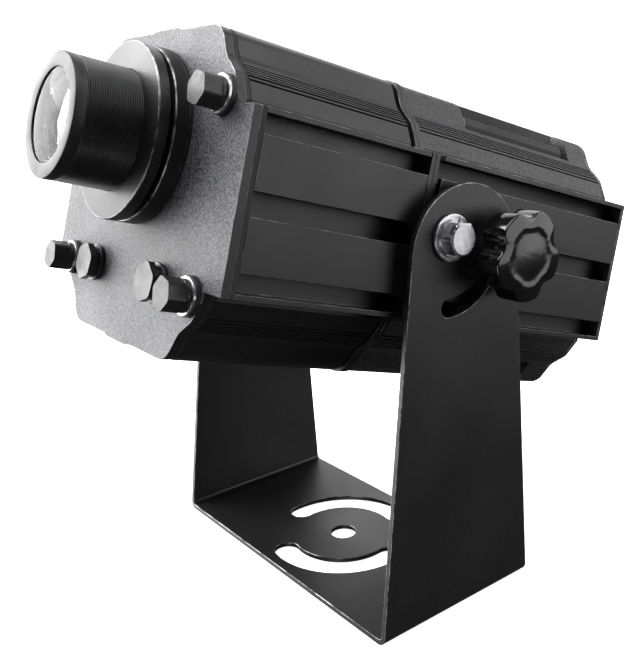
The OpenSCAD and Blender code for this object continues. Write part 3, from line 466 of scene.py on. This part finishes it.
def rounded(name, nodes, body, finish, radius_mm=0.35, joined=False, rim=None):
    """One mesh from copies of CAD nodes, with its sharp edges rounded, and the rounded strips
    in the finish of worn edges. If joined is set, the nodes meet face to face in the planes
    x = +-SEAM_X and become one solid. The last argument is a darker coat for the faces that look
    sideways from the head's axis, painted shade where the front light misses them."""
    work = bmesh.new()
    for node in nodes:
        work.from_mesh(NODES[node].data)
    if joined:
        work.normal_update()
        seam = [f for f in work.faces if abs(f.normal.x) > 0.9
                and all(abs(abs(v.co.x) - SEAM_X * MM) < ON_SEAM for v in f.verts)]
        bmesh.ops.delete(work, geom=seam, context="FACES")
    bmesh.ops.remove_doubles(work, verts=work.verts, dist=SAME_CORNER)
    bmesh.ops.dissolve_limit(work, angle_limit=FLAT_BELOW, verts=work.verts, edges=work.edges)
    open_edges = sum(not e.is_manifold for e in work.edges)
    mesh = bpy.data.meshes.new(name)
    work.to_mesh(mesh)
    work.free()
    mesh.shade_smooth()
    mesh.set_sharp_from_angle(angle=SHARP_ABOVE)
    obj = bpy.data.objects.new(name, mesh)
    bpy.context.scene.collection.objects.link(obj)
    mesh.materials.clear()
    for coat in (finish, worn_edge, rim):
        if coat:
            mesh.materials.append(coat)
    # Painted shade: faces that look sideways from the head's axis take the darker coat of the last
    # argument, the others keep the main coat.
    facing = np.zeros(len(mesh.polygons) * 3)
    mesh.polygons.foreach_get("normal", facing)
    sideways = np.abs(facing.reshape(-1, 3) @ HEAD_AXIS) < 0.5
    mesh.polygons.foreach_set("material_index", np.where(sideways, SHADED_SIDES_SLOT if rim else 0, 0))
    bevel = obj.modifiers.new("real_edges", "BEVEL")
    bevel.material = WORN_SLOT
    bevel.width, bevel.segments = radius_mm * MM, 2
    bevel.limit_method, bevel.angle_limit = "ANGLE", BEVEL_ABOVE
    bevel.harden_normals = True
    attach(obj, body)
    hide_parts(*nodes)
    print(name, "faces:", len(mesh.polygons), "open edges:", open_edges)


rounded("bent_yoke", ["yoke_base", "yoke_arm_right", "yoke_arm_left"], "yoke",
        yoke_coat, joined=True)
# The plates' faces get the lighter coat as painted light, and their sideways faces the darker smooth
# coat as painted shade.
for node, radius in (("front_plate", 0.4), ("rear_plate", 0.3)):
    rounded(node + "_cast", [node], "head", plate_coat_painted_light, radius, rim=smooth_coat)
for node in ("lens_flange", "seam_flange_front", "seam_flange_rear"):
    rounded(node + "_cast", [node], "head", smooth_coat, 0.3)
rounded("lock_ring_cast", ["lock_ring"], "lock_ring", smooth_coat, 0.2)
for node in ("front_sink_right", "front_sink_left", "rear_sink_right", "rear_sink_left"):
    rounded(node + "_drawn", [node], "head", sink_coat, 0.2)
for node in ("top_fins", "bottom_fins"):
    rounded(node + "_cast", [node], "head", fin_coat, 0.2)

# %% [markdown]
# ## The threaded focusing barrel
# The barrel screws in and out of the flange on a fine thread of 1 mm pitch. It could be a
# stack of rings, but a real thread climbs as it goes round. Its radius is the root radius plus
# a rounded ridge of (y / pitch - angle / full turn), so each ridge moves one pitch a turn, and
# the ridge fades out at both ends of the thread as the cutter does.

# %% Barrel
RIM_FRONT = -149.5
THREAD_FRONT = RIM_FRONT + 5
PLATE_T, GASKET_T, INSIDE = 4, 2.3, 6
BARREL_BACK = PLATE_FRONT + PLATE_T + GASKET_T + INSIDE
BARREL_R, THREAD_DEPTH, PITCH = 26.5, 0.6, 1.0
FADE_IN, FADE_OUT, PLAIN_END = 1, 2, 2
BORE_R, OPENING_R = 22.1, 20.1
LIP_BACK = RIM_FRONT + 0.5
LIP_EASE, RIM_EASE = 0.35, 0.4


def thread_radius(r, y, a):
    """Radius on the thread: root + depth * ridge, where the ridge is a rounded triangle of the
    phase y / pitch - a / 2 pi, faded in over one pitch and out over two. Elsewhere r is kept."""
    phase = (y / PITCH - a / (2 * math.pi)) % 1
    ridge = np.clip(1.25 - 2.5 * np.abs(phase - 0.5), 0, 1) ** 0.8
    begun = np.clip((y - THREAD_FRONT) / (FADE_IN * PITCH), 0, 1)
    left = np.clip((BARREL_BACK - PLAIN_END - y) / (FADE_OUT * PITCH), 0, 1)
    on_thread = (y > THREAD_FRONT - 1e-6) & (y < BARREL_BACK - 1e-6) & (r > BORE_R + 1)
    return np.where(on_thread, BARREL_R - THREAD_DEPTH + THREAD_DEPTH * ridge * begun * left, r)


thread_y = np.arange(THREAD_FRONT, BARREL_BACK - 0.1, PITCH / 8)
barrel_profile = np.concatenate([
    [(OPENING_R, RIM_FRONT + LIP_EASE), (OPENING_R + 0.1, RIM_FRONT + 0.1),
     (OPENING_R + LIP_EASE, RIM_FRONT)],
    [(BARREL_R - RIM_EASE, RIM_FRONT), (BARREL_R - 0.12, RIM_FRONT + 0.12),
     (BARREL_R, RIM_FRONT + RIM_EASE)],
    [(BARREL_R, THREAD_FRONT - 0.3)],
    np.stack([np.full_like(thread_y, BARREL_R), thread_y], -1),
    [(BARREL_R - THREAD_DEPTH, BARREL_BACK), (BORE_R, BARREL_BACK)],
    [(BORE_R, LIP_BACK), (OPENING_R, LIP_BACK)],
])
barrel = turned(barrel_profile, thread_radius, 128) + (0, 0, LENS_Z)
piece("focusing_barrel", [in_head(barrel)], "focus_barrel", ["focus_barrel"],
      barrel_black, smooth_below=50)

# %% [markdown]
# ## The front lens
# The lens sits almost flush in the rim. Its front is a low dome, part of a sphere:
# y = y0 - (sqrt(R^2 - r^2) - sqrt(R^2 - edge^2)). Its back is cut in three rings of planes, like
# a gem, and these break the light into the bright pattern that the photograph shows. A ring of
# planes is (how many, the turn of the first in radians, its height on the axis, its slope).

# %% Lens
EDGE_FRONT = RIM_FRONT + 0.6
EDGE_BACK = RIM_FRONT + 7.5
LENS_R = BORE_R - 0.05
DOME_R = 130.0
DOME_ROWS, BACK_ROWS, LENS_SIDES = 24, 60, 192
PLANES = ((6, 0, 3.2, 0.1), (8, 0.3, 4.4, 0.26), (12, 0, 6.3, 0.36))


def facets(r, a, count, turn):
    """Distance from the axis, measured square to the nearest of count planes round it:
    r cos(a - middle of that plane)."""
    wide = 2 * math.pi / count
    return r * np.cos((a - turn + wide / 2) % wide - wide / 2)


def cut_back(r, a):
    """How far forward the planes reach: the lowest of them all, and never below the flat
    edge."""
    cuts = [height - slope * facets(r, a, count, turn) for count, turn, height, slope in PLANES]
    return np.clip(np.min(cuts, axis=0), 0, None)


open_r = OPENING_R - 0.4
r_front = np.linspace(0, open_r, DOME_ROWS)
y_front = (EDGE_FRONT - 0.05 - np.sqrt(DOME_R ** 2 - r_front ** 2)
           + math.sqrt(DOME_R ** 2 - open_r ** 2))
r_back = np.linspace(LENS_R - 0.3, 0, BACK_ROWS)
lens_profile = np.concatenate([
    np.stack([r_front, y_front], -1),
    [(open_r + 0.05, EDGE_FRONT), (LENS_R - 0.3, EDGE_FRONT), (LENS_R, EDGE_FRONT + 0.3),
     (LENS_R, EDGE_BACK - 0.3)],
    np.stack([r_back, np.full_like(r_back, EDGE_BACK)], -1)])
lens = turned(lens_profile, None, LENS_SIDES)
angle = np.linspace(0, 2 * math.pi, LENS_SIDES, endpoint=False)[None, :]
lens[-BACK_ROWS:, :, 1] -= cut_back(r_back[:, None], angle)
piece("front_lens_glass", [in_head(lens + (0, 0, LENS_Z))], "lens_cell", ["front_lens"],
      lens_glass, round_rows=False, smooth_below=3)

# %% [markdown]
# ## Hexagon heads
# A bolt's hexagon is a circle bent to six flats: its radius is half the width across flats
# over cos of the angle to the nearest flat's middle. A cone cuts the corners at the top, so
# the radius is the smaller of the two, which gives the curved chamfer that every turned bolt
# head has. The front bolts stand on a round collar, the pivot bolts on their washers.

# %% Hexagons
CONE_END = 1.16


def hexagon(a, across, turn=0.0, corner=0.35):
    """Radius of a hexagon with eased corners at angle a, in radians."""
    to_flat = (a - turn + math.pi / 6) % (math.pi / 3) - math.pi / 6
    sharp = across / 2 / np.cos(to_flat)
    return np.minimum(sharp, across / math.sqrt(3) - corner)


def hex_head(y_top, y_foot, across, turn, face=0.86):
    """Grid of a hexagonal head along y, from the middle of its top to its foot. face is the
    radius of the flat top as a share of half the width, where the cone of the corners starts:
    drop = tan 30 degrees * (radius - radius of the flat top). The cone ends at CONE_END, just
    past the corners. Shares beyond that are cut back to the hexagon."""
    h = y_foot - y_top
    u = np.linspace(0, 1, 5)
    share = np.concatenate([[0], face + (CONE_END - face) * u, [1.3, 1.3, 1.28, 0]])
    drop = math.tan(math.radians(30)) * (CONE_END - face) * u * across / 2
    down = np.concatenate([[0], drop, [drop[-1] * 1.3, h - 0.05, h, h]])
    profile = np.stack([share * across / 2, y_top + np.minimum(down, h)], -1)
    return turned(profile, lambda r, y, a: np.minimum(r, hexagon(a, across, turn)), 120)


def ring(y0, y1, bore, out, ease=0.25, sides=96):
    """Grid of a washer along y with eased rims."""
    return turned(eased([(bore, y0), (out, y0), (out, y1), (bore, y1)], ease), None, sides)


def rod(y0, y1, r, ease=0.4, sides=48):
    """Grid of a plain rod along y with eased ends, closed at both."""
    near = [(0, y0), (r - ease, y0), (r - ease * 0.3, y0 + ease * 0.3), (r, y0 + ease)]
    far = [(r, y1 - ease), (r - ease * 0.3, y1 - ease * 0.3), (r - ease, y1), (0, y1)]
    return turned(near + far, None, sides)


def corners(grids, x, z):
    """The same grids at four corners (+-x, +-z)."""
    return [in_head(g + (sx * x, 0, sz * z)) for sx in (-1, 1) for sz in (-1, 1) for g in grids]


flat_r, corner_r = hexagon(0, 12), hexagon(math.pi / 6, 12)
print("a 12 mm hexagon's radius:", round(flat_r, 2), "at a flat,", round(corner_r, 2), "at a corner")


# %% Front bolts
BOLT_X, BOLT_Z, BOLT_AF = 60.0, 39.5, 12.6
BOLT_SHANK_R, BOLT_END = 4.0, PLATE_FRONT + 26.3
SEAT_FRONT = PLATE_FRONT - 2
WASHER_FRONT = SEAT_FRONT - 1.5
COLLAR_FRONT = WASHER_FRONT - 2.2
BOLT_TOP = WASHER_FRONT - 9.9
collar = turned([(0, COLLAR_FRONT), (BOLT_AF * 0.5, COLLAR_FRONT),
                 (BOLT_AF * 0.53, COLLAR_FRONT + 0.25), (BOLT_AF * 0.54, WASHER_FRONT - 1.2),
                 (BOLT_AF * 0.54, WASHER_FRONT - 0.3), (BOLT_AF * 0.525, WASHER_FRONT),
                 (0, WASHER_FRONT)])
bolt = [hex_head(BOLT_TOP, COLLAR_FRONT + 0.05, BOLT_AF, math.radians(15), 1.08), collar,
        rod(WASHER_FRONT - 0.1, BOLT_END, BOLT_SHANK_R)]
piece("front_bolts_dark", corners(bolt, BOLT_X, BOLT_Z), "head", ["front_bolts"],
      dark_steel, round_rows=False, smooth_below=28)
bolt_washer = ring(WASHER_FRONT, SEAT_FRONT, BOLT_SHANK_R + 0.05, BOLT_AF * 0.63)
piece("front_washers_bright", corners([bolt_washer], BOLT_X, BOLT_Z), "head",
      ["front_bolt_washers"], bright_steel)

# %% [markdown]
# ## Breather vents
# A sealed head breathes through two vents, so that it doesn't draw water in as it cools. Each
# is a black hexagon cap on a round flange, with a ring of small ports under the cap. They could
# be cut one by one, but a ripple of the radius round the neck gives them all at once.

# %% Vents
VENT_X, VENT_DROP, VENT_AF = 32.0, 38.5, 15.5
SEAL_FRONT = PLATE_FRONT - 1.4
RING_FRONT = SEAL_FRONT - 1.1
CAP_FRONT, CAP_BACK = RING_FRONT - 5, RING_FRONT - 2
PORTS, PORT_DEPTH = 20, 0.45


def port_neck(r, y, a):
    """The neck's radius dips once for each port round it."""
    dip = PORT_DEPTH * np.clip(np.cos(PORTS * a) * 3, 0, 1)
    neck = (y > RING_FRONT - 1.65) & (y < RING_FRONT - 0.35) & (r > 1)
    return np.where(neck, r - dip, r)


cap = hex_head(CAP_FRONT, CAP_BACK, VENT_AF, math.radians(-10), 1.08)
neck_rows = [(VENT_AF * 0.47, RING_FRONT + v) for v in (-2.05, -1.8, -1.6, -1.0, -0.4, -0.2, 0.05)]
neck = turned([(0, RING_FRONT - 2.05), *neck_rows, (0, RING_FRONT + 0.05)], port_neck, 160)
flange = turned([(0, RING_FRONT), (VENT_AF * 0.55, RING_FRONT),
                 (VENT_AF * 0.565, RING_FRONT + 0.25), (VENT_AF * 0.565, SEAL_FRONT - 0.25),
                 (VENT_AF * 0.55, SEAL_FRONT), (0, SEAL_FRONT)])
stem = rod(SEAL_FRONT - 0.1, PLATE_FRONT + 8, 3.95)
vents = [in_head(grid + (side * VENT_X, 0, -VENT_DROP))
         for side in (-1, 1) for grid in (cap, neck, flange, stem)]
piece("vent_caps", vents, "head", ["vent_plugs"], vent_nylon,
      round_rows=False, smooth_below=28)

# %% [markdown]
# ## Pivot bolts and their washers
# The same hexagon, turned to lie along x, makes the pivot bolts. A washer's rim is rounded
# by its stamping, and that rim is what catches the light.

# %% Pivot hardware
ARM_OUT = 90.0
WASHER_IN = ARM_OUT + 0.3
SPRING_IN = WASHER_IN + 1.8
HEAD_IN = SPRING_IN + 1.6
PIVOT_AF, PIVOT_HEAD_H, PIVOT_R, PIVOT_END = 14.0, 5, 5.0, 56
PIVOT_WASHER_R = 10.5


def along_x(grid, side):
    """A grid along y, turned to run along x towards one side: y becomes the distance out."""
    g = np.stack([side * grid[..., 1], grid[..., 0], grid[..., 2]], -1)
    return g + (0, -PIVOT_AHEAD, PIVOT_RISE)


pivot_grids, washer_grids = [], []
for side in (-1, 1):
    head = hex_head(-HEAD_IN - PIVOT_HEAD_H, -HEAD_IN, PIVOT_AF, math.radians(38), 0.92)
    shank = rod(PIVOT_END, HEAD_IN + 0.1, PIVOT_R)
    pivot_grids += [in_head(along_x(grid, side)) for grid in (head * (1, -1, 1), shank)]
    washer = ring(WASHER_IN, SPRING_IN, PIVOT_R + 0.05, PIVOT_WASHER_R, 0.5)
    washer_grids.append(in_head(along_x(washer, side)))
piece("pivot_bolts_bright", pivot_grids, "head", ["pivot_bolts"],
      bright_steel, round_rows=False, smooth_below=28)
piece("pivot_washers_bright", washer_grids, "head", ["pivot_washers"],
      bright_steel)

# %% [markdown]
# ## Star knobs
# A star knob is moulded in one piece: a thick disc with five hollows for the fingers in its
# rim, and a round hub. At each angle the outline is the disc's radius, cut back where a hollow's
# circle comes nearer. Going out along the knob's axis, the outline is eased in at both faces by
# a quarter circle, and the front face swells to a low crown with a shallow dish in it, in which
# the room's light bends.

# %% Knobs
KNOB_D, LOBES, KNOB_T = 41.2, 5, 13.0
WASHER_GAP, KNOB_WASHER_T = 0.6, 1.6
KNOB_SEAT = ARM_OUT + WASHER_GAP + KNOB_WASHER_T
KNOB_BACK = KNOB_SEAT + 4
KNOB_FRONT = KNOB_BACK + KNOB_T
PHASE = math.radians(-4)
FINGER_R, FINGER_AT = 7.0, 24.0
KNOB_SIDES = 240
EASE_BACK, EASE_FRONT, CROWN = 1.0, 1.1, 1.0
DISH_DEPTH, DISH_EDGE, DISH_WALL = 0.45, 0.76, 0.26


def star(a):
    """The knob's outline radius: its circle, or the near side of the closest finger hollow,
    d = c cos(a - ca) - sqrt(r^2 - (c sin(a - ca))^2). A running average eases the creases."""
    apart = 2 * math.pi / LOBES
    off = (a - PHASE) % apart - apart / 2
    inside = FINGER_R ** 2 - (FINGER_AT * np.sin(off)) ** 2
    near = FINGER_AT * np.cos(off) - np.sqrt(np.maximum(inside, 0))
    sharp = np.where(inside > 0, np.minimum(near, KNOB_D / 2), KNOB_D / 2)
    return sum(np.roll(sharp, k) for k in range(-4, 5)) / 9


def knob_grid(side):
    """Rows go from the hub's foot out to the middle of the front face. Each row is a share of
    the outline and a distance out: a round hub, a quarter circle at the back edge, another at
    the front edge, and then the crown, which rises by 1 - share^2 and has a shallow dish. The
    rows turn from the outline to a circle as they come nearer to the middle."""
    a = np.linspace(0, 2 * math.pi, KNOB_SIDES, endpoint=False)
    outline = star(a)
    hub = KNOB_D * 0.24
    quarter = np.linspace(0, math.pi / 2, 7)
    rows = [np.full_like(a, v) for v in (0, hub - 0.4, hub, hub)]
    out = [KNOB_SEAT, KNOB_SEAT, KNOB_SEAT + 0.4, KNOB_BACK]
    rows += [outline - EASE_BACK + EASE_BACK * math.sin(t) for t in quarter]
    out += [KNOB_BACK + EASE_BACK - EASE_BACK * math.cos(t) for t in quarter]
    rows += [outline - EASE_FRONT + EASE_FRONT * math.cos(t) for t in quarter]
    out += [KNOB_FRONT - EASE_FRONT + EASE_FRONT * math.sin(t) for t in quarter]
    for share in (0.95, 0.9, 0.85, 0.8, 0.76, 0.72, 0.7, 0.68, 0.65, 0.62, 0.6, 0.58, 0.5, 0.4,
                  0.2, 0.0):
        star_part = share ** 2 * (outline - EASE_FRONT)
        round_part = (1 - share ** 2) * outline.mean()
        rows.append(share * (star_part + round_part))
        dish = np.clip((DISH_EDGE - share) / DISH_WALL, 0, 1)
        out.append(KNOB_FRONT + CROWN * (1 - share ** 2) - DISH_DEPTH * dish ** 2 * (3 - 2 * dish))
    r, d = np.array(rows), np.array(out)[:, None]
    return np.stack([side * np.broadcast_to(d, r.shape), STUD_Y + r * np.cos(a), r * np.sin(a)], -1)


for side, word in ((1, "right"), (-1, "left")):
    piece("star_knob_" + word, [in_head(knob_grid(side))], word + "_knob", ["knob_" + word],
          gloss_nylon, round_rows=False, smooth_below=40)

# %% [markdown]
# ## Cable gland's dome nut
# The gland at the rear squeezes a rubber sleeve round the cable. Its nut is a dome with flutes
# for the fingers, a ripple of the radius that fades towards the tip.

# %% Gland
PLATE_BACK = 132.6
GLAND_Y = PLATE_BACK + 5.5
GLAND_R, GLAND_BORE_R, GLAND_SEAT_R = 11.2, 4.3, 8.05
GLAND_DROP = 30
FLUTES, FLUTE_DEPTH = 18, 0.5


def fluted(r, y, a):
    """Flutes round the nut's skirt: r dips by up to the flutes' depth where r is near full."""
    skirt = np.clip((r - (GLAND_R - 0.6)) / 0.5, 0, 1)
    return r - skirt * FLUTE_DEPTH * np.clip(np.cos(FLUTES * a), 0, 1) ** 2


nut_rows = [(GLAND_SEAT_R, 0), (GLAND_R - 0.3, 0), (GLAND_R, 0.3), (GLAND_R, 7), (GLAND_R, 7.8),
            (10.9, 8.6), (9.9, 10.3), (8.6, 11.4), (7.2, 12), (GLAND_BORE_R + 0.3, 12),
            (GLAND_BORE_R, 11.7), (GLAND_BORE_R, 9), (GLAND_SEAT_R, 8)]
dome_nut = turned([(r, GLAND_Y + back) for r, back in nut_rows], fluted, 180)
piece("gland_dome_nut", [in_head(dome_nut - (0, 0, GLAND_DROP))], "head", ["gland_dome"],
      gloss_nylon, smooth_below=40)

# %% [markdown]
# ## Floor, light and camera
# The photograph has a white ground with no shadow, a large soft light ahead of the lens on the
# left, and a pale room behind that the side faces mirror faintly. Black paint is almost all
# reflection, so the lights are placed where each face mirrors them. The white ground is kept
# out of the reflections, because the undersides in the photograph mirror something dark.

# %% Ground
FLOOR_R, BEND_R, WALL_TOP, BELOW = 3000, 1500, 7000, 0.5
sweep_mat, _, sweep_shader = new_finish("pale_paper", "#ffffff", 0.9)
sweep_shader.inputs["Emission Color"].default_value = (1, 1, 1, 1)
sweep_shader.inputs["Emission Strength"].default_value = 0.93


def ground():
    """A round sweep in millimetres: a flat floor whose rim curves up into a wall, with
    r = floor + R sin t and z = R - R cos t. turned() makes it about y, so y becomes height."""
    t = np.linspace(0, math.pi / 2, 24)
    bend = np.stack([FLOOR_R + BEND_R * np.sin(t), BEND_R - BEND_R * np.cos(t)], -1)
    sweep_profile = np.concatenate([[(0, 0)], bend, [(FLOOR_R + BEND_R, WALL_TOP)]])
    return turned(sweep_profile)[..., [0, 2, 1]] - (0, 0, BELOW)


sweep = grid_object("pale_sweep", [ground()], sweep_mat, round_rows=False)
for ray in ("glossy", "diffuse", "transmission", "shadow"):
    setattr(sweep, "visible_" + ray, False)

# %% Lights
def soft_light(name, azimuth, elevation, distance, size, power, aim=(0, -0.02, 0.17)):
    """A rectangular area light on a sphere round the aim point, facing it. Angles are in
    degrees, lengths in metres and the power in watts."""
    az, el = math.radians(azimuth), math.radians(elevation)
    out = np.array([math.sin(az) * math.cos(el), -math.cos(az) * math.cos(el), math.sin(el)])
    data = bpy.data.lights.new(name, "AREA")
    data.shape, data.size, data.size_y, data.energy = "RECTANGLE", size[0], size[1], power
    lamp = bpy.data.objects.new(name, data)
    bpy.context.scene.collection.objects.link(lamp)
    back = Matrix.Translation((np.array(aim) + out * distance).tolist())
    turn = Vector((-out).tolist()).to_track_quat("-Z", "Y").to_matrix().to_4x4()
    lamp.matrix_world = back @ turn
    lamp.visible_camera = False
    print("light", name, power, "W")


soft_light("window_front_left", -64, 27, 1.3, (0.55, 0.5), 3)
soft_light("wide_front_left", -66, 5, 2.4, (3.0, 2.6), 138)
soft_light("room_behind", 160, 22, 2.6, (3.2, 1.8), 26)
soft_light("edge_above", 146, 50, 1.6, (0.5, 0.3), 3)
soft_light("edge_front", 35, -21, 1.6, (0.3, 0.6), 5)
soft_light("room_right", 128, 6, 2.4, (2.2, 1.5), 21.5)
soft_light("room_far_left", -126, 30, 2.6, (2.4, 1.6), 28)
soft_light("high_front_left", -48, 46, 2.4, (1.4, 1.2), 60)
soft_light("overhead", 40, 78, 2.0, (1.6, 1.6), 36)

world = bpy.data.worlds.new("room")
bpy.context.scene.world = world
world.use_nodes = True
world.node_tree.nodes.clear()
air = add(world.node_tree, "Background", Color=(1, 1, 1, 1), Strength=0.08)
add(world.node_tree, "OutputWorld", Surface=air.outputs["Background"])

# %% [markdown]
# ## The camera
# The camera stands where the photograph was taken from. A least squares fit to about sixty
# points of the photograph gave its place, its three angles, its focal length in pixels and the
# pixel that it looks straight at. That pixel isn't the frame's middle, so the lens is shifted.

# %% Camera
YAW, PITCH_DOWN, ROLL = (math.radians(v) for v in (54.435, 13.049, -3.531))
ahead = np.array([-math.sin(YAW) * math.cos(PITCH_DOWN), math.cos(YAW) * math.cos(PITCH_DOWN),
                  -math.sin(PITCH_DOWN)])
right = np.array([math.cos(YAW), math.sin(YAW), 0])
up = np.cross(right, ahead)
cam_x = math.cos(ROLL) * right + math.sin(ROLL) * up
cam_y = -math.sin(ROLL) * right + math.cos(ROLL) * up
EYE = (0.358018, -0.263561, 0.252327)
LONG_SIDE, SHORT_SIDE, FOCAL_PX = 657, 633, 875.609
CENTRE_X, CENTRE_Y = 316.556, 276.596
SENSOR = 36
cam_data = bpy.data.cameras.new("camera")
cam_data.sensor_width = SENSOR
cam_data.lens = FOCAL_PX / LONG_SIDE * SENSOR
cam_data.shift_x = (SHORT_SIDE / 2 - CENTRE_X) / LONG_SIDE
cam_data.shift_y = (CENTRE_Y - LONG_SIDE / 2) / LONG_SIDE
cam_data.clip_start, cam_data.clip_end = 0.01, 50
camera = bpy.data.objects.new("camera", cam_data)
bpy.context.scene.collection.objects.link(camera)
turn = np.stack([cam_x, cam_y, -ahead], -1).tolist()
camera.matrix_world = Matrix([[*row, place] for row, place in zip(turn, EYE)] + [[0, 0, 0, 1]])
bpy.context.scene.camera = camera
bpy.context.scene.view_settings.view_transform = "Standard"
print("camera", [round(v, 4) for v in camera.location], "lens", round(cam_data.lens, 2))
